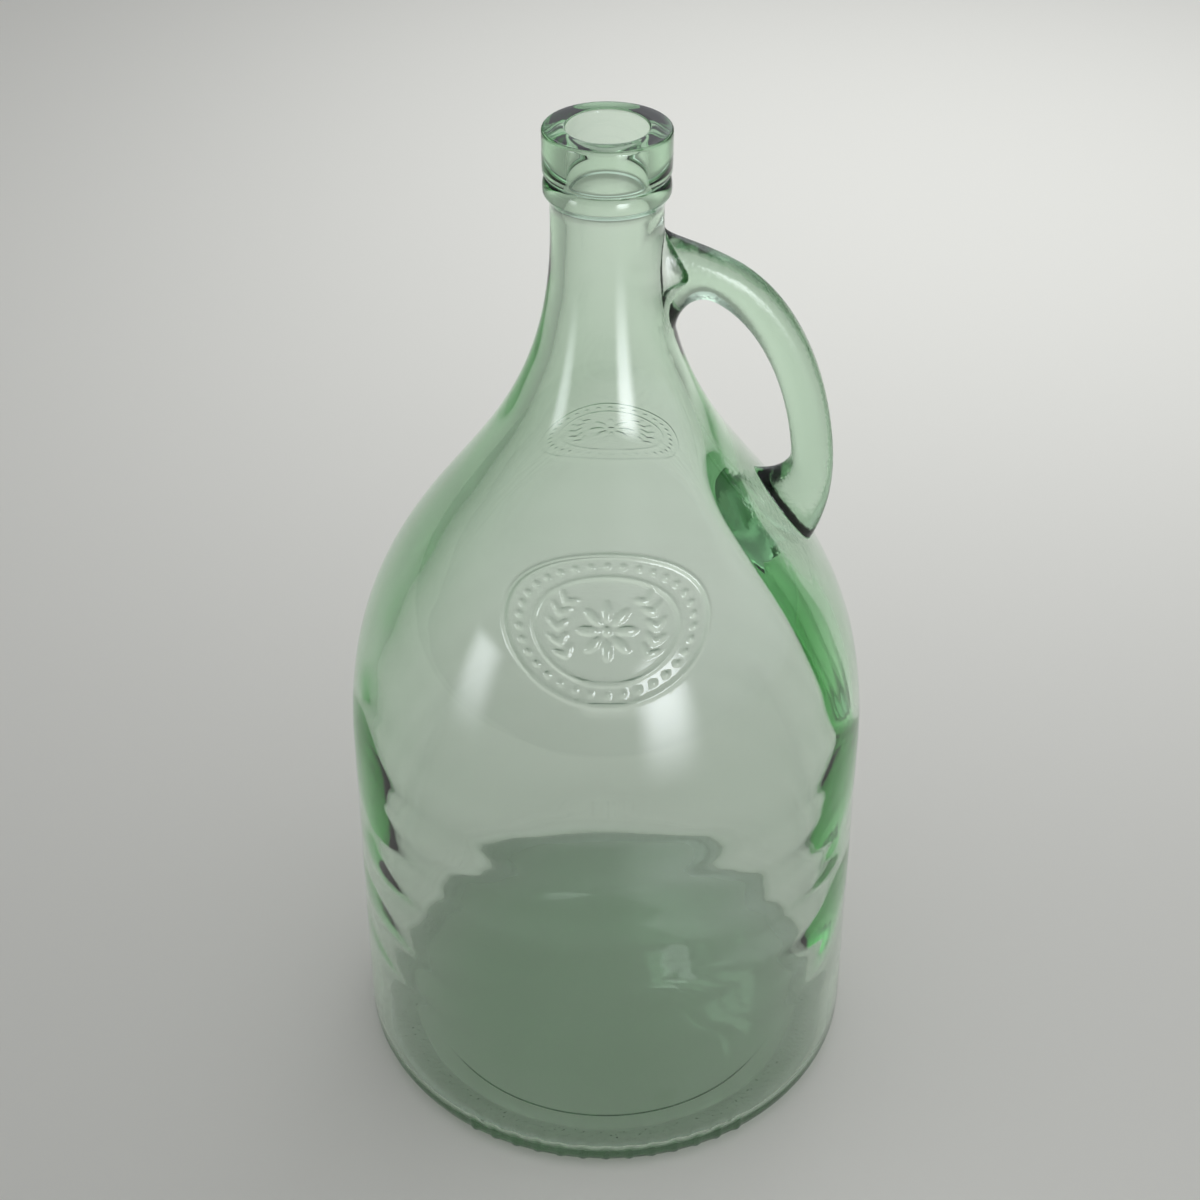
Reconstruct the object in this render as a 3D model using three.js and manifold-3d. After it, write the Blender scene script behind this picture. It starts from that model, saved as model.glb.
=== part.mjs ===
// A four-litre handled demijohn in moulded pale green glass, in millimetres, standing on z = 0.
// The real jug is one moulding. Its zones are separate solids here, from the base up to the lip:
// they meet on level planes, and the handle stands a hair clear of the glass that it grows from.

import * as THREE from 'three';
import { mergeVertices } from 'three/addons/utils/BufferGeometryUtils.js';
import Module from 'manifold-3d';

const wasm = await Module();
wasm.setup();

// Overall sizes
const jugHeight = 332;       // floor to the top of the lip
const footRadius = 84.5;     // barrel just above the heel, where it is widest
const barrelDraft = 1.4;     // how much slimmer it is where the shoulder begins, to leave the mould
const barrelHeight = 124.5;  // floor to where the shoulder begins
const neckRadius = 16.05;    // outside of the neck
const barrelWall = 3.2;      // glass in the barrel
const neckWall = 4.4;        // glass in the neck

// Base
const heelRadius = 8;        // rounding from the barrel to the standing ring
const ringWidth = 6;         // flat standing ring
const pushUp = 6;            // underside at the axis, above the standing ring
const floorEdge = 4.5;       // inside floor at its edge, above the standing ring
const floorRise = 11;        // inside floor at the axis, above its edge
const cornerRadius = 5.5;    // inside corner between the floor and the barrel
const cornerMargin = 1;      // straight wall above that corner, up to the barrel zone

// Shoulder and neck are one S curve, which leaves the barrel and reaches the neck upright
const shoulderPull = 93;     // how long the curve stays close to the barrel's line
const neckPull = 86.3;       // how long it stays close to the neck's line
const neckShare = 0.64;      // where along the curve the shoulder zone ends and the neck zone begins

// Lip, groove and bead
const mouthRadius = 11.4;    // bore of the lip
const lipRadius = 18.1;      // outside of the lip collar
const collarHeight = 13.7;   // top of the lip down to the groove
const lipRound = 1;          // outer edge of the lip
const mouthRound = 0.7;      // inner edge of the lip
const collarRound = 2.6;     // height of the rounding under the collar
const grooveRadius = 16.7;   // groove between collar and bead
const beadRadius = 18;       // ring that the mould's neck tongs grip
const beadHeight = 7.3;      // groove down to the neck
const beadSlope = 3.2;       // height of the bead's slanted underside
const beadLand = 1.2;        // height of the bead's widest band
const neckStraight = 7.7;    // straight neck under the bead

// Handle, a solid bar that leaves the neck nearly level and comes down on the shoulder
const gripThickness = 12.5;  // in the plane of the loop
const gripWidth = 12.3;      // across the loop
const handleDrop = 21.8;     // centre of the upper root below the bead
const rootDepth = 6;         // how far the bar's upper end starts inside the neck's surface
const landingRadius = 59.6;  // where the bar's centre meets the shoulder
const footDepth = 17;        // how far the bar's lower end runs on under the shoulder
const topReach = 55.5;       // pull of the bar away from the neck
const topRise = 8;           // how far that pull stands above the upper root
const sideReach = 68.2;      // pull of the bar above the shoulder, from the axis
const sideRise = 24;         // how far that pull stands above the landing
const topFilletLength = 11;  // fillet between the neck and the bar's underside, along the bar
const topFilletReach = 10;   // and along the neck
const footFilletLength = 8;  // fillet between the shoulder and the bar's inside, along the bar
const footFilletReach = 11;  // and across it
const footFilletLift = 17;   // where that fillet starts, above the landing
const topRidge = 7;          // how far the upper root swells over the bar's top
const topRidgeLength = 24;   // and how far along the bar
const topSwell = 2;          // how far it swells to each side
const jointGap = 0.3;        // between the handle and the glass that it grows from

// Fineness
const turnSegments = 48;
const shoulderSteps = 10;
const neckSteps = 8;
const arcSteps = 4;
const floorSteps = 4;
const barSteps = 48;
const barSides = 16;
const barSquareness = 0.8;   // 1 gives an ellipse, less gives flatter sides

// The barrel's slim end, and levels from the floor up
const barrelRadius = footRadius - barrelDraft;
const baseTop = floorEdge + cornerRadius + cornerMargin;
const grooveLevel = jugHeight - collarHeight;
const beadBottom = grooveLevel - beadHeight;
const neckTop = beadBottom - neckStraight;

function barrelOutside(z) {
  const share = (z - heelRadius) / (barrelHeight - heelRadius);
  return THREE.MathUtils.lerp(footRadius, barrelRadius, share);
}

// The S curve between two radii, as [radius, height] at share t of its way up
function shoulderPoint(lowRadius, highRadius, t) {
  const curve = new THREE.CubicBezierCurve(
    new THREE.Vector2(lowRadius, barrelHeight),
    new THREE.Vector2(lowRadius, barrelHeight + shoulderPull),
    new THREE.Vector2(highRadius, neckTop - neckPull),
    new THREE.Vector2(highRadius, neckTop),
  );
  const point = curve.getPoint(t);
  return [point.x, point.y];
}

function stretch(from, to, steps, lowRadius, highRadius) {
  return Array.from({ length: steps + 1 }, (_, i) => {
    return shoulderPoint(lowRadius, highRadius, THREE.MathUtils.lerp(from, to, i / steps));
  });
}

const outsideRadii = [barrelRadius, neckRadius];
const insideRadii = [barrelRadius - barrelWall, neckRadius - neckWall];

// A quarter ellipse round a centre, between two angles in degrees
function arc(centreR, centreZ, reachR, reachZ, fromDeg, toDeg) {
  return Array.from({ length: arcSteps + 1 }, (_, i) => {
    const turn = THREE.MathUtils.degToRad(THREE.MathUtils.lerp(fromDeg, toDeg, i / arcSteps));
    return [centreR + reachR * Math.cos(turn), centreZ + reachZ * Math.sin(turn)];
  });
}

// A shallow dome from the axis out to a radius
function dome(topZ, edgeZ, edgeRadius) {
  return Array.from({ length: floorSteps + 1 }, (_, i) => {
    const share = i / floorSteps;
    return [edgeRadius * share, THREE.MathUtils.lerp(topZ, edgeZ, share * share)];
  });
}

// Joins equal corners, so that the mesh is closed, and drops the empty faces on the axis
function welded(geometry) {
  geometry.deleteAttribute('normal');
  geometry.deleteAttribute('uv');
  const merged = mergeVertices(geometry);
  const index = merged.getIndex().array;
  const kept = [];
  for (let i = 0; i < index.length; i += 3) {
    const [a, b, c] = index.subarray(i, i + 3);
    if (a !== b && b !== c && c !== a) kept.push(a, b, c);
  }
  merged.setIndex(kept);
  return merged;
}

// Turns a profile of [radius, height] points about the jug's axis
function turned(profile) {
  const points = profile.map(([radius, z]) => new THREE.Vector2(radius, z));
  return welded(new THREE.LatheGeometry(points, turnSegments).rotateX(Math.PI / 2));
}

// A ring of glass between an outside and an inside line, both given from the bottom up
function ring(outside, inside) {
  return turned([...outside, ...inside.toReversed(), outside[0]]);
}

function baseZone() {
  const ringOutside = footRadius - heelRadius;
  const inside = barrelOutside(baseTop) - barrelWall;
  const floorRadius = inside - cornerRadius;
  return turned([
    ...dome(pushUp, 0, ringOutside - ringWidth),
    ...arc(ringOutside, heelRadius, heelRadius, heelRadius, -90, 0),
    [barrelOutside(baseTop), baseTop],
    [inside, baseTop],
    ...arc(floorRadius, floorEdge + cornerRadius, cornerRadius, cornerRadius, 0, -90),
    ...dome(floorEdge + floorRise, floorEdge, floorRadius).toReversed().slice(1),
  ]);
}

function bodyZone() {
  const foot = barrelOutside(baseTop);
  return ring(
    [[foot, baseTop], [barrelRadius, barrelHeight]],
    [[foot - barrelWall, baseTop], [barrelRadius - barrelWall, barrelHeight]],
  );
}

function shoulderZone() {
  return ring(
    stretch(0, neckShare, shoulderSteps, ...outsideRadii),
    stretch(0, neckShare, shoulderSteps, ...insideRadii),
  );
}

function neckZone() {
  return ring(
    [...stretch(neckShare, 1, neckSteps, ...outsideRadii), [neckRadius, beadBottom]],
    [...stretch(neckShare, 1, neckSteps, ...insideRadii), [neckRadius - neckWall, beadBottom]],
  );
}

function beadZone() {
  const bandLow = beadBottom + beadSlope;
  const bandHigh = bandLow + beadLand;
  return ring(
    [
      [neckRadius, beadBottom],
      [beadRadius, bandLow],
      ...arc(grooveRadius, bandHigh, beadRadius - grooveRadius, grooveLevel - bandHigh, 0, 90),
    ],
    [[neckRadius - neckWall, beadBottom], [mouthRadius, grooveLevel]],
  );
}

function collarZone() {
  const lipEdge = jugHeight - lipRound;
  return ring(
    [
      ...arc(grooveRadius, grooveLevel + collarRound, lipRadius - grooveRadius, collarRound, -90, 0),
      ...arc(lipRadius - lipRound, lipEdge, lipRound, lipRound, 0, 90),
    ],
    [
      [mouthRadius, grooveLevel],
      [mouthRadius, jugHeight - mouthRound],
      [mouthRadius + mouthRound, jugHeight],
    ],
  );
}

// The height at which the outside of the shoulder has a given radius
function shoulderHeight(radius) {
  let low = 0;
  let high = 1;
  while (high - low > 1e-9) {
    const middle = (low + high) / 2;
    if (shoulderPoint(...outsideRadii, middle)[0] > radius) low = middle;
    else high = middle;
  }
  return shoulderPoint(...outsideRadii, low)[1];
}

// The bar's centre line, in the plane of the loop, from inside the neck to under the shoulder
function handlePath() {
  const top = beadBottom - handleDrop;
  const landing = shoulderHeight(landingRadius);
  const start = new THREE.Vector3(neckRadius - rootDepth, 0, top);
  const end = new THREE.Vector3(landingRadius, 0, landing);
  const path = new THREE.CurvePath();
  path.add(new THREE.CubicBezierCurve3(
    start,
    new THREE.Vector3(topReach, 0, top + topRise),
    new THREE.Vector3(sideReach, 0, landing + sideRise),
    end,
  ));
  path.add(new THREE.LineCurve3(end, new THREE.Vector3(landingRadius, 0, landing - footDepth)));
  return path;
}

// A corner of a rounded section: the power pulls the ellipse towards a rectangle
function squared(value) {
  return Math.sign(value) * Math.abs(value) ** barSquareness;
}

// A round fillet's share of its full reach, at a distance from where it is widest
function fillet(distance, length) {
  const share = THREE.MathUtils.clamp(1 - distance / length, 0, 1);
  return 1 - Math.sqrt(1 - share * share);
}

// The bar itself, as rings of corners joined side to side and closed at both ends
function bar(path) {
  const across = new THREE.Vector3(0, 1, 0);
  const length = path.getLength();
  const corners = [];
  const faces = [];
  for (let i = 0; i <= barSteps; i += 1) {
    const share = i / barSteps;
    const centre = path.getPointAt(share);
    const up = new THREE.Vector3().crossVectors(path.getTangentAt(share), across);
    const top = fillet(length * share - rootDepth, topFilletLength);
    const ridge = fillet(length * share - rootDepth, topRidgeLength);
    const foot = fillet(length * (1 - share) - footDepth - footFilletLift, footFilletLength);
    const over = gripThickness / 2 + topRidge * ridge;
    const under = gripThickness / 2 + topFilletReach * top + footFilletReach * foot;
    const halfWidth = gripWidth / 2 + topSwell * top;
    for (let k = 0; k < barSides; k += 1) {
      const turn = (2 * Math.PI * k) / barSides;
      const rise = squared(Math.sin(turn));
      const corner = centre.clone()
        .addScaledVector(up, rise * (rise > 0 ? over : under))
        .addScaledVector(across, squared(Math.cos(turn)) * halfWidth);
      corners.push(corner);
      const next = (k + 1) % barSides;
      const here = i * barSides;
      const ahead = here + barSides;
      if (i < barSteps) {
        faces.push(here + k, here + next, ahead + next);
        faces.push(here + k, ahead + next, ahead + k);
      }
    }
  }
  const last = barSteps * barSides;
  for (let k = 1; k < barSides - 1; k += 1) {
    faces.push(0, k + 1, k);
    faces.push(last, last + k, last + k + 1);
  }
  return new THREE.BufferGeometry().setFromPoints(corners).setIndex(faces);
}

function solid(geometry) {
  const vertProperties = geometry.getAttribute('position').array;
  const triVerts = new Uint32Array(geometry.getIndex().array);
  return new wasm.Manifold(new wasm.Mesh({ numProp: 3, vertProperties, triVerts }));
}

function geometryOf(manifold) {
  const { vertProperties, triVerts } = manifold.getMesh();
  const geometry = new THREE.BufferGeometry();
  geometry.setAttribute('position', new THREE.BufferAttribute(vertProperties, 3));
  return geometry.setIndex([...triVerts]);
}

// Shoulder and neck filled to the axis, one gap larger all round, to cut the handle's ends
function glassCore() {
  const outside = [
    ...stretch(0, neckShare, shoulderSteps, ...outsideRadii),
    ...stretch(neckShare, 1, neckSteps, ...outsideRadii).slice(1),
    [neckRadius, beadBottom],
  ].map(([radius, z]) => [radius + jointGap, z]);
  return turned([[0, barrelHeight], ...outside, [0, beadBottom]]);
}

function handle() {
  return geometryOf(solid(bar(handlePath())).subtract(solid(glassCore())));
}

const zones = [
  ['base', baseZone(), 0x7fa58a],
  ['body_wall', bodyZone(), 0xc3cfc5],
  ['shoulder', shoulderZone(), 0xb9c9bd],
  ['neck', neckZone(), 0xc0cdc3],
  ['transfer_bead', beadZone(), 0x86a592],
  ['lip_collar', collarZone(), 0xa9cbb3],
  ['handle', handle(), 0xb4d2bf],
];

const demijohn = new THREE.Group();
for (const [name, geometry, color] of zones) {
  const glass = new THREE.MeshStandardMaterial({ color, roughness: 0.05, metalness: 0 });
  const mesh = new THREE.Mesh(geometry, glass);
  mesh.name = name;
  demijohn.add(mesh);
}

export default demijohn;
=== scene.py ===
import math
import bmesh
import bpy
import numpy as np
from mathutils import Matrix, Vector


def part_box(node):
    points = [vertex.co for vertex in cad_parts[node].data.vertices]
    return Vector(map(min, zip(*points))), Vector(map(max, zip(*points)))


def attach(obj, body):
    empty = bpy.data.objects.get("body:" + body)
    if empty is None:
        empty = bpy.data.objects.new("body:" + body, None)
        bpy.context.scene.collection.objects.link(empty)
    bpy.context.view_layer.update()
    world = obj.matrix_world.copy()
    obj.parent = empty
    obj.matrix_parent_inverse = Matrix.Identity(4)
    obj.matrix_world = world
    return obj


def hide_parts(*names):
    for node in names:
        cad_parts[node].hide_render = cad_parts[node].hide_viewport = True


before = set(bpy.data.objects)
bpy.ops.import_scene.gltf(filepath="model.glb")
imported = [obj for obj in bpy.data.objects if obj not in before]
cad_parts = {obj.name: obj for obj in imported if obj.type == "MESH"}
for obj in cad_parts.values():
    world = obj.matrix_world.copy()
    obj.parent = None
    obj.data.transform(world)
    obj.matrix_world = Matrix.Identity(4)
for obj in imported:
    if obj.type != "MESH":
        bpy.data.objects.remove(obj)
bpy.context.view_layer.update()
print("frame loaded,", len(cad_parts), "zones of one glass moulding")

mm = 0.001
scene = bpy.context.scene


def hexToLinear(code):
    channels = [int(code[i:i + 2], 16) / 255 for i in (1, 3, 5)]
    linear = [c / 12.92 if c <= 0.04045 else ((c + 0.055) / 1.055) ** 2.4 for c in channels]
    return (*linear, 1.0)


def addNode(tree, kind, values=None, links=None, **settings):
    node = tree.nodes.new(kind)
    for name, value in settings.items():
        setattr(node, name, value)
    for socket, value in (values or {}).items():
        node.inputs[socket].default_value = value
    for socket, source in (links or {}).items():
        tree.links.new(source, node.inputs[socket])
    return node


def millimetres(node):
    low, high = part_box(node)
    return low / mm, high / mm


def bezier(a, b, c, d, share):
    rest = 1 - share
    return a * rest ** 3 + 3 * b * share * rest ** 2 + 3 * c * share ** 2 * rest + d * share ** 3


def smooth(share):
    share = np.clip(share, 0, 1)
    return share * share * (3 - 2 * share)


def wrapped(turn):
    return (turn + math.pi) % (2 * math.pi) - math.pi


# Camera: held in front of the jug and well above it, looking down on the shoulder
view = {
    "imageSize": 1200,               # square picture, pixels
    "focalPixels": 2019.5,           # focal length in those pixels
    "sensor": 36.0,
    "pitch": 36.07,                  # degrees below level
    "place": (-2.0, -517.5, 550.2),  # mm
}

cameraData = bpy.data.cameras.new("standingViewer")
cameraData.sensor_fit = "HORIZONTAL"
cameraData.sensor_width = view["sensor"]
cameraData.lens = view["focalPixels"] / view["imageSize"] * view["sensor"]
camera = bpy.data.objects.new("standingViewer", cameraData)
camera.location = Vector(view["place"]) * mm
camera.rotation_euler = (math.radians(90 - view["pitch"]), 0, 0)
scene.collection.objects.link(camera)
scene.camera = camera
print("camera set, lens", round(cameraData.lens, 2), "mm")


# The jug's wall, in millimetres; what the frame knows is taken from it
baseHigh = millimetres("base")[1]
shoulderLow, shoulderHigh = millimetres("shoulder")
beadLow, beadHigh = millimetres("transfer_bead")
collarLow, collarHigh = millimetres("lip_collar")

wall = {
    "columns": 144,                      # around the axis
    "outerRows": (30, 18, 18, 3),        # in the barrel, the shoulder, the neck's sweep and its top
    "footRadius": baseHigh.x,
    "barrelRadius": shoulderHigh.x,
    "barrelHeight": shoulderLow.z,
    "neckRadius": 16.05,
    "shoulderPull": 93.0,                # the S curve's pulls along barrel and neck
    "neckPull": 86.3,
    "neckStraight": 7.7,
    "barrelWall": 3.2,
    "neckWall": 4.4,
    "heelRadius": 8.0,
    "ringInside": 70.5,
    "ringEdge": 3.0,                     # from there to the flat of the standing ring
    "pushUp": 6.0,                       # underside at the axis
    "plateMark": 63.0,                   # radius of the fine groove that the mould's bottom plate leaves
    "plateMarkDepth": 0.35,
    "plateMarkWidth": 0.45,
    "plateMarkRows": (-1.2, -0.6, -0.3, 0, 0.3, 0.6, 1.2),    # of corners across it, and the nearest
    "plateMarkSides": (2.0, 2.5),        # coarser ones inside and outside
    "plateMarkFront": (0.35, 0.4),       # it comes up from the sides to the front
    "floorEdge": 4.5,                    # inside floor at its edge
    "floorRise": 11.0,                   # and how much higher at the axis
    "cornerRadius": 5.5,
}

# Soft waves that the blown glass keeps in the inside floor
floorWaves = {
    "height": 0.14,
    "length": 34.0,
    "sway": 1.6,                         # how far their rings wander
    "swayTurn": 0.7,
    "second": 0.6,                       # a second set, weaker and wider, as shares of the first
    "secondRate": 0.7,
    "rows": 20,
}

lip = {
    "mouthRadius": 11.4,
    "lipRound": 1.0,
    "mouthRound": 0.7,
    "collarRound": 2.6,
    "grooveRadius": 16.7,
    "beadSlope": 3.2,
    "beadLand": 1.2,
    "partStep": 0.12,                    # mould parting line under the bead
    "partDrop": 1.0,
    "partHeight": 0.25,
    "partDraft": 0.05,
    "bandRound": 1.6,
    "collarFlat": 2.0,                   # from the collar's roundings to its straight face
    "topRows": (15.6, 14.2, 13.0),       # radii of the rows on the lip's flat top
}

# The inner face's rows, denser by the handle's roots
innerRows = {
    "mouth": (3.0, 6.0, 10.0),           # below the lip's top
    "downTo": [(306.0, 4), (272.0, 30), (226.0, 20), (176.0, 34)],    # height and number of rows
    "shoulder": 20,
    "barrel": 60,
}

neckTop = beadLow.z - wall["neckStraight"]
baseTop = wall["floorEdge"] + wall["cornerRadius"]


def barrelOutside(z):
    share = (z - wall["heelRadius"]) / (wall["barrelHeight"] - wall["heelRadius"])
    return wall["footRadius"] + share * (wall["barrelRadius"] - wall["footRadius"])


class sideLine:
    # radius and length along the wall at any height, from the barrel's foot to the bead
    def __init__(self, footHeight, thin, thick):
        share = np.linspace(0, 1, 900)
        low = wall["barrelRadius"] - thin
        high = wall["neckRadius"] - thick
        start = wall["barrelHeight"]
        curveZ = bezier(start, start + wall["shoulderPull"], neckTop - wall["neckPull"], neckTop, share)
        curveR = bezier(low, low, high, high, share)
        self.z = np.concatenate([[footHeight], curveZ, [beadLow.z]])
        self.r = np.concatenate([[barrelOutside(footHeight) - thin], curveR, [high]])
        steps = np.hypot(np.diff(self.z), np.diff(self.r))
        self.s = np.concatenate([[0], np.cumsum(steps)])

    def radius(self, z):
        return np.interp(z, self.z, self.r)

    def along(self, z):
        return np.interp(z, self.z, self.s)

    def height(self, s):
        return np.interp(s, self.s, self.z)

    def slope(self, s, reach=0.5):
        # unit vector up the wall, as (radial, vertical)
        low, high = self.height(s - reach), self.height(s + reach)
        run, rise = self.radius(high) - self.radius(low), high - low
        size = np.hypot(run, rise)
        return run / size, rise / size


outside = sideLine(wall["heelRadius"], 0, 0)
inside = sideLine(baseTop, wall["barrelWall"], wall["neckWall"])


def arcRows(centreR, centreZ, reachR, reachZ, fromDeg, toDeg, steps):
    turns = np.radians(np.linspace(fromDeg, toDeg, steps + 1))
    return [(centreR + reachR * math.cos(t), centreZ + reachZ * math.sin(t)) for t in turns]


# Handle: a solid bar whose two roots open into the wall, each through a window in its grid of faces
handle = {
    "thick": 12.5,
    "wide": 12.3,
    "squareness": 0.68,              # 1 gives an ellipse, less gives flatter sides
    "drop": 21.8,                    # centre of the upper root below the bead
    "rootDepth": 6.0,
    "landingRadius": 59.6,
    "topReach": 55.5,
    "topRise": 8.0,
    "sideReach": 68.2,
    "sideRise": 24.0,
    "topClear": 19.0,                # from the neck's face to where the bar has its plain section
    "footClear": 26.0,               # and from the end of that down to the landing
    "rings": 76,
    "filletRings": 12,
    "filletPull": 0.62,              # how straight the fillets run into the bar
    "settle": 0.3,                   # share of the bar over which its corners turn into place
    "skirtRings": 3,
    "skirtPull": 3,                  # draws these rings close to the root, which keeps its crease fine
}

upperRoot = {
    "low": 266.0, "high": 304.8,     # window in the neck's grid
    "rows": 14, "half": 14,
    "holeLow": 270.4, "holeHigh": 302.6,
    "holeHalfWidth": 8.4,
    "rounding": 3.0,
}

lowerRoot = {
    "low": 192.5, "high": 228.5,     # window in the shoulder's grid
    "rows": 28, "half": 7,
    "holeLow": 197.5, "holeHigh": 223.0,
    "holeHalfWidth": 6.5,
    "rounding": 0.4,
}


columns = wall["columns"]
turns = 2 * math.pi * np.arange(columns) / columns


def evenAlong(low, high, cells):
    return outside.height(np.linspace(outside.along(low), outside.along(high), cells + 1))


def outsideLevels():
    # heights of the outer rows, and the numbers of those where the two windows start
    barrel, shoulder, sweep, top = wall["outerRows"]
    stretches = [
        evenAlong(wall["heelRadius"], wall["barrelHeight"], barrel),
        evenAlong(wall["barrelHeight"], lowerRoot["low"], shoulder),
        evenAlong(lowerRoot["low"], lowerRoot["high"], lowerRoot["rows"]),
        evenAlong(lowerRoot["high"], upperRoot["low"], sweep),
        evenAlong(upperRoot["low"], upperRoot["high"], upperRoot["rows"]),
        evenAlong(upperRoot["high"], beadLow.z - lip["partDrop"], top),
    ]
    levels = list(stretches[0])
    starts = []
    for part in stretches[1:]:
        starts.append(len(levels) - 1)
        levels += list(part[1:])
    return levels, starts[1], starts[3]


def undersideRows():
    edge, mark = wall["ringInside"], wall["plateMark"]
    inner, outer = wall["plateMarkSides"]
    radii = list(np.linspace(0, mark - inner, 12)[1:])
    radii += [mark + off for off in wall["plateMarkRows"]]
    radii += list(np.linspace(mark + outer, edge, 4))
    rows = []
    start, run = wall["plateMarkFront"]
    front = smooth((-np.sin(turns) - start) / run)
    for r in radii:
        groove = wall["plateMarkDepth"] * math.exp(-((r - mark) / wall["plateMarkWidth"]) ** 2) * front
        rows.append((r, wall["pushUp"] * (1 - (r / edge) ** 2) ** 2 + groove))
    rows += [(edge + wall["ringEdge"], 0.0)]
    heel = wall["heelRadius"]
    rows += arcRows(wall["footRadius"] - heel, heel, heel, heel, -90, 0, 10)[:-1]
    return rows


def lipRows():
    bandLow = beadLow.z + lip["beadSlope"]
    bandHigh = bandLow + lip["beadLand"]
    groove = lip["grooveRadius"]
    bandRound, collarRound = lip["bandRound"], lip["collarRound"]
    roundTop = collarLow.z + collarRound
    rows = [(wall["neckRadius"] + lip["partStep"], beadLow.z - lip["partDrop"] + lip["partHeight"])]
    rows += [(wall["neckRadius"] + lip["partStep"] + lip["partDraft"], beadLow.z)]
    rows += arcRows(beadHigh.x - bandRound, bandLow, bandRound, bandRound, -60, 0, 4)
    rows += arcRows(groove, bandHigh, beadHigh.x - groove, collarLow.z - bandHigh, 0, 90, 6)
    rows += arcRows(groove, roundTop, collarHigh.x - groove, collarRound, -84, 0, 6)
    face = np.linspace(roundTop + lip["collarFlat"], collarHigh.z - lip["collarFlat"], 4)
    rows += [(collarHigh.x, z) for z in face]
    rows += arcRows(collarHigh.x - lip["lipRound"], collarHigh.z - lip["lipRound"],
                    lip["lipRound"], lip["lipRound"], 0, 90, 6)
    rows += [(r, collarHigh.z) for r in lip["topRows"]]
    rows += arcRows(lip["mouthRadius"] + lip["mouthRound"], collarHigh.z - lip["mouthRound"],
                    lip["mouthRound"], lip["mouthRound"], 90, 180, 5)
    return rows


def insideLevels():
    levels = [collarHigh.z - down for down in innerRows["mouth"]] + [collarLow.z, beadLow.z]
    lower = [(wall["barrelHeight"], innerRows["shoulder"]), (baseTop, innerRows["barrel"])]
    for height, rows in innerRows["downTo"] + lower:
        levels += list(np.linspace(levels[-1], height, rows)[1:])
    return levels


def insideRadius(z):
    neckBore = wall["neckRadius"] - wall["neckWall"]
    straight = np.interp(z, [beadLow.z, collarLow.z], [neckBore, lip["mouthRadius"]])
    return np.where(z > beadLow.z, straight, inside.radius(z))


def floorRows():
    corner = wall["cornerRadius"]
    edge = float(inside.radius(baseTop)) - corner
    rows = arcRows(edge, baseTop, corner, corner, 0, -90, 12)[1:]
    for share in np.linspace(1, 0, floorWaves["rows"])[1:-1]:
        swirl = 2 * math.pi * edge * share / floorWaves["length"]
        first = np.cos(swirl + floorWaves["sway"] * np.sin(turns + floorWaves["swayTurn"]))
        wave = first + floorWaves["second"] * np.cos(floorWaves["secondRate"] * swirl + 2 * turns)
        lift = floorWaves["height"] * 4 * share * (1 - share) * wave
        rows.append((edge * share, wall["floorEdge"] + wall["floorRise"] * (1 - share ** 2) + lift))
    return rows


# The air hollow that the blown neck leaves inside the handle's upper root, drop-shaped in plan
hollow = {
    "height": 287.5,                     # of its tip
    "depth": 13.8,
    "above": 17.0, "below": 6.5,         # how far it reaches from there
    "belowCurve": 1.2,                   # more makes it end sooner
    "tipRound": 1.5,
    "tipTurn": 4.0,                      # degrees, rounding of the tip in plan
    "columns": 27,                       # of the wall that it takes up to each side
}

# Where the blown wall is thicker than elsewhere: turn in degrees from the handle, height, reach across,
# up and down, and the extra glass, in mm; edge and round set how sharp and how square it is, and far
# gives it a soft side away from the viewer
thickSpots = [
    {"turn": -11, "height": 193, "across": 20.2, "up": 44, "down": 46, "extra": 5.2,
     "edge": 3.8, "round": 2.5, "far": 23},
    {"turn": 180, "height": 205, "across": 45, "up": 50, "down": 50, "extra": 5.0, "edge": 2, "round": 2},
    {"turn": -12, "height": 112, "across": 27, "up": 24, "down": 21, "extra": 2.8, "edge": 2, "round": 2},
    {"turn": -12, "height": 65, "across": 25, "up": 16, "down": 16, "extra": 2.6, "edge": 2, "round": 2},
    {"turn": 180, "height": 100, "across": 50, "up": 60, "down": 60, "extra": 1.1, "edge": 2, "round": 2},
    {"turn": 192, "height": 114, "across": 22, "up": 24, "down": 22, "extra": 1.6, "edge": 2, "round": 2},
]

ripples = {
    "height": 0.165,                     # soft rings in the inner face
    "length": 21.5,
    "crest": 100.0,                      # height of one of them
    "fineHeight": 0.02,
    "fineLength": 8.5,
    "sway": (0.5, 0.3),                  # how far the rings wander, in two waves
    "swayTurn": 0.6,
    "uneven": 0.2,                       # share of their height that changes round the jug
    "unevenLength": 15.0,
    "start": 28.0, "rise": 42.0,         # they come up from the heel
    "fade": 60.0, "fadeShare": 0.8,      # and go down in the shoulder
}


def hollowDepth(turn, z):
    away = z - hollow["height"]
    soft = math.hypot(away, hollow["tipRound"]) - hollow["tipRound"]
    if away > 0:
        share = max(0.0, 1 - soft / hollow["above"])
    else:
        share = math.exp(-(soft / hollow["below"]) ** hollow["belowCurve"])
    bore = float(inside.radius(z))
    tangentTurn = math.acos(bore / (bore + hollow["depth"] * share))
    rounding = math.radians(hollow["tipTurn"])
    off = np.hypot(turn, rounding)
    return bore / np.cos(np.clip(off, 0, tangentTurn) - tangentTurn) - bore


def hollowTurns(z):
    # the columns' turns, moved so that they stay evenly spaced along the hollow's sides
    count = hollow["columns"]
    dense = np.linspace(0, turns[count], 600)
    radius = insideRadius(z) + hollowDepth(dense, z)
    steps = np.hypot(np.diff(radius * np.cos(dense)), np.diff(radius * np.sin(dense)))
    length = np.concatenate([[0], np.cumsum(steps)])
    even = np.interp(np.linspace(0, length[-1], count + 1), length, dense)
    return np.concatenate([even, turns[count + 1:-count], 2 * math.pi - even[:0:-1]])


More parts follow.
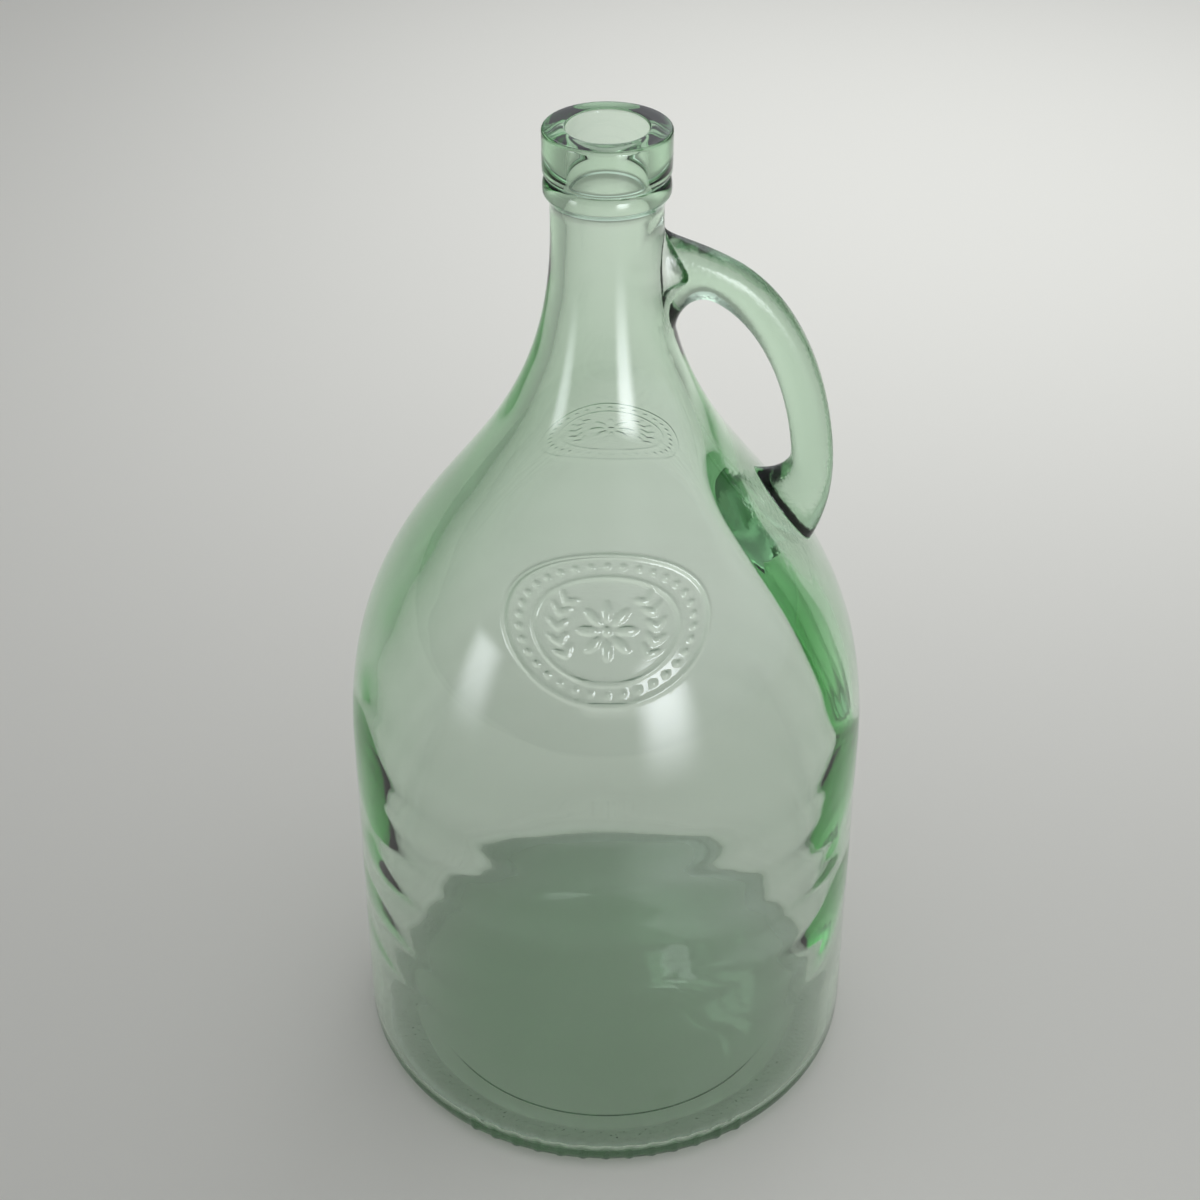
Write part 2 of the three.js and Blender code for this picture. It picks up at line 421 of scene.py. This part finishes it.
def extraGlass(turn, z):
    total = np.zeros_like(turn)
    for spot in thickSpots:
        across = wrapped(turn - math.radians(spot["turn"])) * inside.radius(z) / spot["across"]
        upward = (z - spot["height"]) / (spot["up"] if z > spot["height"] else spot["down"])
        off = (np.abs(across) ** spot["round"] + np.abs(upward) ** spot["round"]) ** (1 / spot["round"])
        share = np.exp(-off ** spot["edge"])
        if "far" in spot:
            soft = np.exp(-abs(upward) ** spot["edge"] - (across * spot["across"] / spot["far"]) ** 2)
            share = np.where(across > 0, soft, share)
        total += spot["extra"] * share
    return total


def rippleDepth(turn, z):
    slow, quick = ripples["sway"]
    sway = slow * np.sin(2 * turn + ripples["swayTurn"]) + quick * np.sin(5 * turn)
    ring = ripples["height"] * np.cos(2 * math.pi * (z - ripples["crest"]) / ripples["length"] + sway)
    fine = ripples["fineHeight"] * np.cos(2 * math.pi * z / ripples["fineLength"] + 2 * np.sin(3 * turn))
    rise = smooth((z - ripples["start"]) / ripples["rise"])
    fade = rise * (1 - ripples["fadeShare"] * smooth((z - wall["barrelHeight"]) / ripples["fade"]))
    uneven = 1 - ripples["uneven"] + ripples["uneven"] * np.cos(7 * turn + z / ripples["unevenLength"])
    return (ring * uneven + fine) * fade


def turnedRow(radius, z, turn=None):
    turn = turns if turn is None else turn
    return np.stack([radius * np.cos(turn), radius * np.sin(turn), np.full_like(turn, z)], axis=1)


def surfacePoint(turn, s):
    z = outside.height(s)
    radius = outside.radius(z)
    return np.stack([radius * np.cos(turn), radius * np.sin(turn), z], axis=1)


def inwardTangent(turn, s, turnStep, sStep):
    # unit vectors on the wall, pointing where the step goes
    radial, vertical = outside.slope(s)
    radius = outside.radius(outside.height(s))
    around = np.stack([-np.sin(turn), np.cos(turn), 0 * turn], axis=1)
    upward = np.stack([radial * np.cos(turn), radial * np.sin(turn), vertical], axis=1)
    step = around * (radius * turnStep)[:, None] + upward * sStep[:, None]
    return step / np.linalg.norm(step, axis=1)[:, None]


levels, lowerStart, upperStart = outsideLevels()
bottomRows = undersideRows()
rings = [turnedRow(r, z) for r, z in bottomRows]
rings += [turnedRow(float(outside.radius(z)), z) for z in levels]
rings += [turnedRow(r, z) for r, z in lipRows()]
for z in insideLevels():
    turn = hollowTurns(z)
    radius = insideRadius(z) - extraGlass(turn, z) + rippleDepth(turn, z) + hollowDepth(wrapped(turn), z)
    rings.append(turnedRow(radius, z, turn))
rings += [turnedRow(r, z) for r, z in floorRows()]

corners = list(np.concatenate(rings))
rowCount = len(rings)
lowerRow = len(bottomRows) + lowerStart
upperRow = len(bottomRows) + upperStart
windows = [(lowerRow, lowerRoot), (upperRow, upperRoot)]
faces = []


def inWindow(row, column):
    for start, root in windows:
        if start <= row < start + root["rows"] and (column + root["half"]) % columns < 2 * root["half"]:
            return True
    return False


for row in range(rowCount - 1):
    for column in range(columns):
        if not inWindow(row, column):
            ahead = (column + 1) % columns
            here, above = row * columns, (row + 1) * columns
            faces.append((here + column, here + ahead, above + ahead, above + column))

underPole = len(corners)
corners.append(np.array([0, 0, wall["pushUp"]]))
floorPole = len(corners)
corners.append(np.array([0, 0, wall["floorEdge"] + wall["floorRise"]]))
lastRow = (rowCount - 1) * columns
for column in range(columns):
    ahead = (column + 1) % columns
    faces.append((underPole, ahead, column))
    faces.append((floorPole, lastRow + column, lastRow + ahead))
print("wall turned:", rowCount, "rows of", columns)


def windowLoop(start, root):
    # the window's edge, anticlockwise seen from outside, as corner numbers with their turn and length
    half, top = root["half"], start + root["rows"]
    cells = [(start, k) for k in range(-half, half)]
    cells += [(row, half) for row in range(start, top)]
    cells += [(top, k) for k in range(half, -half, -1)]
    cells += [(row, -half) for row in range(top, start, -1)]
    index = [row * columns + k % columns for row, k in cells]
    turn = np.array([2 * math.pi * k / columns for row, k in cells])
    s = np.array([float(outside.along(levels[row - len(bottomRows)])) for row, k in cells])
    return index, turn, s


def rootRings(start, root):
    # rings from the window's edge to the oval where the fillet begins
    index, turn, s = windowLoop(start, root)
    low, high = outside.along(root["holeLow"]), outside.along(root["holeHigh"])
    middle, halfLength = (low + high) / 2, (high - low) / 2
    halfTurn = root["holeHalfWidth"] / outside.radius(outside.height(middle))
    angle = np.arctan2((s - middle) / halfLength, turn / halfTurn)
    holeTurn, holeS = halfTurn * np.cos(angle), middle + halfLength * np.sin(angle)
    skirts = []
    for step in range(1, handle["skirtRings"] + 1):
        share = 1 - (1 - step / handle["skirtRings"]) ** handle["skirtPull"]
        skirts.append(surfacePoint(turn + share * (holeTurn - turn), s + share * (holeS - s)))
    tangent = inwardTangent(holeTurn, holeS, -holeTurn, middle - holeS)
    return index, np.unwrap(angle), skirts, tangent


landing = float(np.interp(-handle["landingRadius"], -outside.r[1:-1], outside.z[1:-1]))
barTop = beadLow.z - handle["drop"]
pathShare = np.linspace(0, 1, 1200)
pathX = bezier(wall["neckRadius"] - handle["rootDepth"], handle["topReach"], handle["sideReach"],
               handle["landingRadius"], pathShare)
pathZ = bezier(barTop, barTop + handle["topRise"], landing + handle["sideRise"], landing, pathShare)
pathS = np.concatenate([[0], np.cumsum(np.hypot(np.diff(pathX), np.diff(pathZ)))])


def barRing(distance, angle):
    # one ring of the bar at a distance along its centre line, and the way the bar runs there
    reach = 0.5
    centre = np.array([np.interp(distance, pathS, pathX), 0, np.interp(distance, pathS, pathZ)])
    run = np.interp([distance - reach, distance + reach], pathS, pathX)
    rise = np.interp([distance - reach, distance + reach], pathS, pathZ)
    way = np.array([run[1] - run[0], 0, rise[1] - rise[0]])
    way /= np.linalg.norm(way)
    up = np.array([-way[2], 0, way[0]])
    power = handle["squareness"]
    side = np.sign(np.cos(angle)) * np.abs(np.cos(angle)) ** power * handle["wide"] / 2
    lift = np.sign(np.sin(angle)) * np.abs(np.sin(angle)) ** power * handle["thick"] / 2
    return centre + lift[:, None] * up + side[:, None] * np.array([0, 1.0, 0]), way


def filletRings(hole, tangent, ring, way, rounding):
    # curves that leave the wall along its face and run into the bar, from the wall outwards
    span = np.linalg.norm(ring - hole, axis=1)[:, None]
    first = hole + tangent * rounding
    second = ring - way * handle["filletPull"] * span
    shares = np.linspace(0, 1, handle["filletRings"] + 2)[1:-1]
    return [bezier(hole, first, second, ring, share) for share in shares]


topIndex, topAngle, topSkirts, topTangent = rootRings(upperRow, upperRoot)
footIndex, footAngle, footSkirts, footTangent = rootRings(lowerRow, lowerRoot)
sides = len(topIndex)

# the lower root is met from the other side, so its loop is run backwards from the nearest corner
away = np.abs(wrapped(-footAngle - topAngle[0]))
order = (int(np.argmin(away)) - np.arange(sides)) % sides
footIndex = [footIndex[k] for k in order]
footSkirts = [skirt[order] for skirt in footSkirts]
footTangent = footTangent[order]
footAngle = np.unwrap(-footAngle[order])
footAngle += 2 * math.pi * round((topAngle[0] - footAngle[0]) / (2 * math.pi))
evenAngle = topAngle[0] + 2 * math.pi * np.arange(sides) / sides

barStart = handle["rootDepth"] + handle["topClear"]
barEnd = pathS[-1] - handle["footClear"]
barRings = []
for distance in np.linspace(barStart, barEnd, handle["rings"]):
    share = (distance - barStart) / (barEnd - barStart)
    fromTop, fromFoot = 1 - smooth(share / handle["settle"]), 1 - smooth((1 - share) / handle["settle"])
    angle = evenAngle + fromTop * (topAngle - evenAngle) + fromFoot * (footAngle - evenAngle)
    barRings.append(barRing(distance, angle))

firstRing, firstWay = barRings[0]
lastRing, lastWay = barRings[-1]
chain = list(topSkirts)
chain += filletRings(topSkirts[-1], topTangent, firstRing, firstWay, upperRoot["rounding"])
chain += [ring for ring, way in barRings]
chain += filletRings(footSkirts[-1], footTangent, lastRing, -lastWay, lowerRoot["rounding"])[::-1]
chain += footSkirts[::-1]

handleStart = len(corners)
previous = topIndex
for ring in chain:
    current = list(range(len(corners), len(corners) + sides))
    corners += list(ring)
    for k in range(sides):
        ahead = (k + 1) % sides
        faces.append((previous[k], previous[ahead], current[ahead], current[k]))
    previous = current
for k in range(sides):
    ahead = (k + 1) % sides
    faces.append((previous[k], previous[ahead], footIndex[ahead], footIndex[k]))
print("handle joined:", len(chain), "rings of", sides)


# Raised ornament: an oval with a rosette and two sprays, front and back, and ridges round the heel
ornament = {
    "height": 204.6,                 # middle of the oval
    "halfWidth": 29.3,
    "halfHeight": 21.6,
    "innerShare": 0.71,              # inner line of the border
    "innerRelief": 0.85,             # relief of the finer forms, as shares of the outer line's
    "smallRelief": 0.9,
    "relief": 0.85,
    "backShare": 0.15,               # the back one is shallower
    "lineWidth": 0.62,
    "pearls": 34,
    "pearlRadius": 1.05,
    "petals": 8,
    "petalReach": 5.6,
    "petalLength": 3.3,
    "petalWidth": 1.5,
    "heartRadius": 1.5,
    "leaves": 5,                     # on each side of a spray
    "leafLength": 2.7,
    "leafWidth": 1.05,
    "leafOff": 1.53,                 # from the stem
    "leafTilt": 0.8,
    "leafLean": 14.0,                # degrees from one pair to the next
    "sprayStart": -52.0,             # degrees along the stem's bow, and from one pair to the next
    "sprayStep": 26.0,
    "sprayMiddle": 7.5,
    "sprayHalfWidth": 6.6,
    "sprayHalfHeight": 9.6,
    "cuts": 4,
    "margin": 1.12,
    "sideLimit": 40.0,               # keeps the finer faces off the handle's root
}

heelRidges = {
    "count": 68,                     # for the whole way round
    "span": 34.0,                    # degrees to each side of the front
    "relief": 0.65,
    "low": 3.0, "high": 11.5,
    "below": 1.0, "above": 2.0,      # margins of the finer faces
    "beside": 0.06,                  # the same round the jug, in radians
    "inward": 2.0,
    "endRun": 1.5,                   # over which a ridge comes up at its ends
    "sideRun": 0.03,                 # and the row of ridges at its two sides, in radians
    "sharpness": 1.5,
    "cuts": 3,
}


def drop(u, v, centreU, centreV, turn, length, width):
    # a rounded raised form, longer one way than the other
    along = (u - centreU) * math.cos(turn) + (v - centreV) * math.sin(turn)
    across = (v - centreV) * math.cos(turn) - (u - centreU) * math.sin(turn)
    off = (along / length) ** 2 + (across / width) ** 2
    return np.sqrt(np.clip(1 - off, 0, 1))


def ovalLine(u, v, share):
    a, b = ornament["halfWidth"] * share, ornament["halfHeight"] * share
    off = np.sqrt((u / a) ** 2 + (v / b) ** 2) + 1e-9
    steepness = np.sqrt((u / a ** 2) ** 2 + (v / b ** 2) ** 2) / off + 1e-9
    return np.exp(-((off - 1) / steepness / ornament["lineWidth"]) ** 2)


def ornamentRelief(u, v):
    o = ornament
    small = o["smallRelief"]
    relief = np.maximum(ovalLine(u, v, 1.0), o["innerRelief"] * ovalLine(u, v, o["innerShare"]))
    middle = (1 + o["innerShare"]) / 2
    for k in range(o["pearls"]):
        turn = 2 * math.pi * (k + 0.5) / o["pearls"]
        pearlU = o["halfWidth"] * middle * math.cos(turn)
        pearlV = o["halfHeight"] * middle * math.sin(turn)
        pearl = drop(u, v, pearlU, pearlV, 0, o["pearlRadius"], o["pearlRadius"])
        relief = np.maximum(relief, small * pearl)
    for k in range(o["petals"]):
        turn = 2 * math.pi * k / o["petals"]
        petalU, petalV = o["petalReach"] * math.cos(turn), o["petalReach"] * math.sin(turn)
        relief = np.maximum(relief, drop(u, v, petalU, petalV, turn, o["petalLength"], o["petalWidth"]))
    relief = np.maximum(relief, drop(u, v, 0, 0, 0, o["heartRadius"], o["heartRadius"]))
    for side in (-1, 1):
        for k in range(o["leaves"]):
            turn = math.radians(o["sprayStart"] + o["sprayStep"] * k)
            stemU = side * (o["sprayMiddle"] + o["sprayHalfWidth"] * math.cos(turn))
            stemV = o["sprayHalfHeight"] * math.sin(turn)
            lean = math.pi / 2 + side * math.radians(o["leafLean"] * (k - 2))
            for tilt in (-o["leafTilt"], o["leafTilt"]):
                leafU = stemU + o["leafOff"] * math.cos(lean + tilt)
                leafV = stemV + o["leafOff"] * math.sin(lean + tilt)
                leaf = drop(u, v, leafU, leafV, lean + tilt, o["leafLength"], o["leafWidth"])
                relief = np.maximum(relief, small * leaf)
    return o["relief"] * relief


def ornamentShare(points):
    return np.where(points[:, 1] < 0, 1.0, ornament["backShare"])


def ornamentPlace(points):
    # distances across and up the wall from the middle of the nearer oval
    turn = np.arctan2(points[:, 1], points[:, 0])
    front = points[:, 1] < 0
    off = wrapped(turn - np.where(front, -math.pi / 2, math.pi / 2))
    across = np.hypot(points[:, 0], points[:, 1]) * np.sin(off)
    return across, outside.along(points[:, 2]) - outside.along(ornament["height"])


def pointsOf(verts):
    return np.array([vert.co for vert in verts])


def onOutside(points, slack=0.6):
    z = np.clip(points[:, 2], outside.z[0], outside.z[-1])
    return np.abs(np.hypot(points[:, 0], points[:, 1]) - outside.radius(z)) < slack


def refine(mesh, chosen, cuts):
    # finer faces where the relief goes; returns the corners in and around them
    edges = {edge for face in chosen for edge in face.edges}
    made = bmesh.ops.subdivide_edges(mesh, edges=list(edges), cuts=cuts, use_grid_fill=True)
    found = {vert for face in chosen if face.is_valid for vert in face.verts}
    found |= {item for item in made["geom"] if isinstance(item, bmesh.types.BMVert)}
    return list(found)


def raiseOrnaments(mesh):
    centres = np.array([face.calc_center_median() for face in mesh.faces])
    across, upward = ornamentPlace(centres)
    oval = (across / ornament["halfWidth"]) ** 2 + (upward / ornament["halfHeight"]) ** 2
    fits = (oval < ornament["margin"] ** 2) & onOutside(centres)
    fits &= np.abs(centres[:, 0]) < ornament["sideLimit"]
    mesh.faces.ensure_lookup_table()
    verts = refine(mesh, [mesh.faces[k] for k in np.nonzero(fits)[0]], ornament["cuts"])
    points = pointsOf(verts)
    across, upward = ornamentPlace(points)
    relief = ornamentRelief(across, upward) * ornamentShare(points)
    turn = np.arctan2(points[:, 1], points[:, 0])
    radial, vertical = outside.slope(outside.along(points[:, 2]))
    radius = outside.radius(points[:, 2]) + relief * vertical
    height = points[:, 2] - relief * radial
    for vert, a, r, z in zip(verts, turn, radius, height):
        vert.co = (r * math.cos(a), r * math.sin(a), z)


def raiseHeelRidges(mesh):
    low, high, span = heelRidges["low"], heelRidges["high"], math.radians(heelRidges["span"])
    places = np.array([face.calc_center_median() for face in mesh.faces])
    sideways = np.abs(np.arctan2(places[:, 0], -places[:, 1]))
    fits = np.hypot(places[:, 0], places[:, 1]) > wall["footRadius"] - heelRidges["inward"]
    fits &= (places[:, 2] > low - heelRidges["below"]) & (places[:, 2] < high + heelRidges["above"])
    fits &= sideways < span + heelRidges["beside"]
    mesh.faces.ensure_lookup_table()
    verts = refine(mesh, [mesh.faces[k] for k in np.nonzero(fits)[0]], heelRidges["cuts"])
    points = pointsOf(verts)
    turn = np.arctan2(points[:, 1], points[:, 0])
    sideways = np.abs(np.arctan2(points[:, 0], -points[:, 1]))
    run = heelRidges["endRun"]
    band = smooth((points[:, 2] - low) / run) * smooth((high - points[:, 2]) / run)
    band *= smooth((span - sideways) / heelRidges["sideRun"])
    wave = np.clip(np.cos(heelRidges["count"] * turn), 0, 1) ** heelRidges["sharpness"]
    radii = np.hypot(points[:, 0], points[:, 1]) + heelRidges["relief"] * band * wave
    for vert, a, r in zip(verts, turn, radii):
        vert.co = (r * math.cos(a), r * math.sin(a), vert.co.z)


# Soda-lime glass, pressed and blown in an iron mould: clear and even, pale where thin and green where
# thick, with a faint orange-peel skin, a pebbled grip and a stippled standing ring
glassLook = {
    "ior": 1.52,
    "tint": "#4bd464",               # what a thick piece lets through
    "tintDensity": 33.0,             # per metre
    "skinSize": 9.0,                 # mm, orange peel
    "skinDepth": 0.004,              # mm
    "pebbleSize": 1.5,               # mm, a little coarser than the real grain so that it shows
    "pebbleDepth": 0.11,
    "gripRoughness": 0.17,
    "ringStipple": 3.5,              # the standing ring's grain, as a multiple of the grip's
    "ringHeight": 0.6,               # mm, how far up that goes
}

glassMesh = bpy.data.meshes.new("demijohn_glass")
glassMesh.from_pydata([tuple(corner) for corner in corners], [], faces)
work = bmesh.new()
work.from_mesh(glassMesh)
pebbleLayer = work.verts.layers.float.new("pebble")
for vert in work.verts:
    if vert.index >= handleStart:
        vert[pebbleLayer] = 1.0
    elif vert.co.z < glassLook["ringHeight"] and vert.co.xy.length > wall["ringInside"] - wall["ringEdge"]:
        vert[pebbleLayer] = glassLook["ringStipple"]
bmesh.ops.delete(work, geom=[vert for vert in work.verts if not vert.link_faces], context="VERTS")
raiseOrnaments(work)
raiseHeelRidges(work)
bmesh.ops.scale(work, vec=(mm, mm, mm), verts=work.verts)
openEdges = sum(1 for edge in work.edges if len(edge.link_faces) != 2)
for face in work.faces:
    face.smooth = True
work.to_mesh(glassMesh)
work.free()
glass = bpy.data.objects.new("demijohn_glass", glassMesh)
scene.collection.objects.link(glass)
print("glass made:", len(glassMesh.polygons), "faces,", openEdges, "open edges")


def mouldedSodaLimeGlass():
    material = bpy.data.materials.new("mouldedSodaLimeGlass")
    material.use_nodes = True
    tree = material.node_tree
    tree.nodes.clear()
    place = addNode(tree, "ShaderNodeTexCoord").outputs["Object"]
    skinScale, pebbleScale = 1 / (glassLook["skinSize"] * mm), 1 / (glassLook["pebbleSize"] * mm)
    skin = addNode(tree, "ShaderNodeTexNoise", {"Scale": skinScale, "Detail": 2.0}, {"Vector": place})
    pebble = addNode(tree, "ShaderNodeTexNoise", {"Scale": pebbleScale, "Detail": 1.0}, {"Vector": place})
    grip = addNode(tree, "ShaderNodeAttribute", attribute_name="pebble")
    rough = addNode(tree, "ShaderNodeMath", {1: glassLook["gripRoughness"]}, {0: grip.outputs["Fac"]},
                    operation="MULTIPLY")
    skinBump = addNode(tree, "ShaderNodeBump", {"Strength": 1.0, "Distance": glassLook["skinDepth"] * mm},
                       {"Height": skin.outputs["Fac"]})
    bump = addNode(tree, "ShaderNodeBump", {"Distance": glassLook["pebbleDepth"] * mm},
                   {"Strength": grip.outputs["Fac"], "Height": pebble.outputs["Fac"],
                    "Normal": skinBump.outputs["Normal"]})
    shader = addNode(tree, "ShaderNodeBsdfPrincipled",
                     {"Base Color": (1, 1, 1, 1), "IOR": glassLook["ior"], "Transmission Weight": 1.0},
                     {"Normal": bump.outputs["Normal"], "Roughness": rough.outputs["Value"]})
    tint = addNode(tree, "ShaderNodeVolumeAbsorption",
                   {"Color": hexToLinear(glassLook["tint"]), "Density": glassLook["tintDensity"]})
    addNode(tree, "ShaderNodeOutputMaterial", None,
            {"Surface": shader.outputs["BSDF"], "Volume": tint.outputs["Volume"]})
    return material


glassMesh.materials.append(mouldedSodaLimeGlass())
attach(glass, "root")
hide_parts("base", "body_wall", "shoulder", "neck", "transfer_bead", "lip_collar", "handle")
print("glass finished")


# A plain sheet of pale card to stand on, and soft daylight from the right
stage = {
    "floorSize": 40.0,               # m
    "floorDrop": 0.3,                # mm under the standing ring, so that the two faces don't meet
    "card": "#e7e4dc",
    "cardRoughness": 0.9,
    "cardSheen": 0.15,
    "daylight": (0.965, 1.0, 1.04),  # a little cool
    "skyDim": 0.04,                  # light from the room's far side
    "skyBright": 0.59,               # and from the brightest part of its ceiling
    "skyReach": (-0.3, 1.0),         # cosines to that part, between which the light changes
    "skyFrom": (0.42, 0.2, 0.885),
    "skyPatches": 1.7,               # how often the room changes between bright and dim
    "skyUneven": 0.4,
    "skyPatchEdges": (0.35, 0.65),
}

# Bright places behind the jug that its floor and handle mirror: the way to each, the cosines between which
# it comes up, and its light
backWindows = [
    {"way": (0.1, 0.99, 0.09), "edge": (0.92, 0.985), "light": 0.45},
    {"way": (0.28, 0.855, 0.44), "edge": (0.96, 0.985), "light": 0.7},
    {"way": (0.18, 0.655, 0.735), "edge": (0.9983, 0.9994), "light": 1.6},
    {"way": (-0.091, 0.87, 0.485), "edge": (0.9975, 0.9993), "light": 1.0},
]


def paleCard():
    # matt uncoated card: even and dull, with next to no shine
    material = bpy.data.materials.new("paleCard")
    material.use_nodes = True
    tree = material.node_tree
    shader = tree.nodes["Principled BSDF"]
    shader.inputs["Base Color"].default_value = hexToLinear(stage["card"])
    shader.inputs["Roughness"].default_value = stage["cardRoughness"]
    shader.inputs["Specular IOR Level"].default_value = stage["cardSheen"]
    return material


half = stage["floorSize"] / 2
floorMesh = bpy.data.meshes.new("paleFloor")
floorCorners = [(-half, -half, 0), (half, -half, 0), (half, half, 0), (-half, half, 0)]
floorMesh.from_pydata(floorCorners, [], [(0, 1, 2, 3)])
floorMesh.materials.append(paleCard())
floor = bpy.data.objects.new("paleFloor", floorMesh)
floor.location.z = -stage["floorDrop"] * mm
scene.collection.objects.link(floor)

sky = bpy.data.worlds.new("softDaylight")
sky.use_nodes = True
skyTree = sky.node_tree
skyTree.nodes.clear()
direction = addNode(skyTree, "ShaderNodeTexCoord").outputs["Generated"]
towards = addNode(skyTree, "ShaderNodeVectorMath", {1: stage["skyFrom"]}, {0: direction},
                  operation="DOT_PRODUCT")
low, high = stage["skyReach"]
level = addNode(skyTree, "ShaderNodeMapRange",
                {"From Min": low, "From Max": high,
                 "To Min": stage["skyDim"], "To Max": stage["skyBright"]},
                {"Value": towards.outputs["Value"]})
patches = addNode(skyTree, "ShaderNodeTexNoise", {"Scale": stage["skyPatches"], "Detail": 1.0},
                  {"Vector": direction})
low, high = stage["skyPatchEdges"]
uneven = addNode(skyTree, "ShaderNodeMapRange",
                 {"From Min": low, "From Max": high,
                  "To Min": 1 - stage["skyUneven"], "To Max": 1 + stage["skyUneven"]},
                 {"Value": patches.outputs["Fac"]})
patchy = addNode(skyTree, "ShaderNodeMath", None, {0: level.outputs["Result"], 1: uneven.outputs["Result"]},
                 operation="MULTIPLY")
strength = patchy.outputs["Value"]
for window in backWindows:
    way = Vector(window["way"]).normalized()
    facing = addNode(skyTree, "ShaderNodeVectorMath", {1: way}, {0: direction}, operation="DOT_PRODUCT")
    low, high = window["edge"]
    glow = addNode(skyTree, "ShaderNodeMapRange",
                   {"From Min": low, "From Max": high, "To Min": 0.0, "To Max": window["light"]},
                   {"Value": facing.outputs["Value"]}, interpolation_type="SMOOTHSTEP")
    strength = addNode(skyTree, "ShaderNodeMath", None, {0: strength, 1: glow.outputs["Result"]},
                       operation="ADD").outputs["Value"]
skyLight = addNode(skyTree, "ShaderNodeBackground", {"Color": (*stage["daylight"], 1)},
                   {"Strength": strength})
addNode(skyTree, "ShaderNodeOutputWorld", None, {"Surface": skyLight.outputs["Background"]})
scene.world = sky

# Fills that brighten the card at the back and in front, and two windows that only show as reflections;
# metres and watts
lights = [
    {"name": "cardFill", "place": (0.24, 0.7, 0.5), "aim": (0.24, 0.7, 0.0),
     "size": (0.9, 0.9), "power": 3.0, "mirrored": False},
    {"name": "nearFill", "place": (0.14, -0.3, 0.2), "aim": (0.14, -0.3, 0.0),
     "size": (0.2, 0.3), "power": 0.08, "mirrored": False},
    {"name": "footFill", "place": (0.01, -0.12, 0.1), "aim": (0.01, -0.12, 0.0),
     "size": (0.14, 0.05), "power": 0.01, "mirrored": False},
    {"name": "nearWindow", "place": (0.25, -0.52, 0.24), "aim": (0.0, 0.0, 0.24),
     "size": (0.32, 0.44), "power": 5.0, "mirrored": True},
    {"name": "sideWindow", "place": (-0.56, -0.33, 0.24), "aim": (0.0, 0.0, 0.24),
     "size": (0.26, 0.36), "power": 1.8, "mirrored": True},
]
windowFades = {"X": (0.4, 0.45), "Y": (0.8, 0.12)}    # shares over which a window's light comes up


def fadeTowardsEdges(lamp):
    lamp.use_nodes = True
    tree = lamp.node_tree
    tree.nodes.clear()
    spot = addNode(tree, "ShaderNodeNewGeometry").outputs["Parametric"]
    share = addNode(tree, "ShaderNodeSeparateXYZ", None, {"Vector": spot})
    fades = []
    for axis, (low, high) in windowFades.items():
        for edge, full in ((0.0, low), (1.0, 1.0 - high)):
            fade = addNode(tree, "ShaderNodeMapRange",
                           {"From Min": edge, "From Max": full, "To Min": 0.0, "To Max": 1.0},
                           {"Value": share.outputs[axis]}, interpolation_type="SMOOTHSTEP")
            fades.append(fade.outputs["Result"])
    strength = fades[0]
    for fade in fades[1:]:
        strength = addNode(tree, "ShaderNodeMath", None, {0: strength, 1: fade},
                           operation="MULTIPLY").outputs["Value"]
    glow = addNode(tree, "ShaderNodeEmission", None, {"Strength": strength})
    addNode(tree, "ShaderNodeOutputLight", None, {"Surface": glow.outputs["Emission"]})


for entry in lights:
    lamp = bpy.data.lights.new(entry["name"], "AREA")
    lamp.shape = "RECTANGLE"
    lamp.size, lamp.size_y = entry["size"]
    lamp.energy = entry["power"]
    lamp.color = stage["daylight"]
    lamp.use_shadow = entry["mirrored"]
    if entry["mirrored"]:
        fadeTowardsEdges(lamp)
    lampObject = bpy.data.objects.new(entry["name"], lamp)
    lampObject.location = entry["place"]
    aim = Vector(entry["aim"]) - Vector(entry["place"])
    lampObject.rotation_euler = aim.to_track_quat("-Z", "Y").to_euler()
    lampObject.visible_camera = False
    lampObject.visible_glossy = entry["mirrored"]
    lampObject.visible_diffuse = not entry["mirrored"]
    lampObject.visible_transmission = False
    scene.collection.objects.link(lampObject)

scene.view_settings.view_transform = "Standard"
scene.cycles.max_bounces = 32
scene.cycles.transmission_bounces = 32
scene.cycles.glossy_bounces = 16
print("stage and light set")
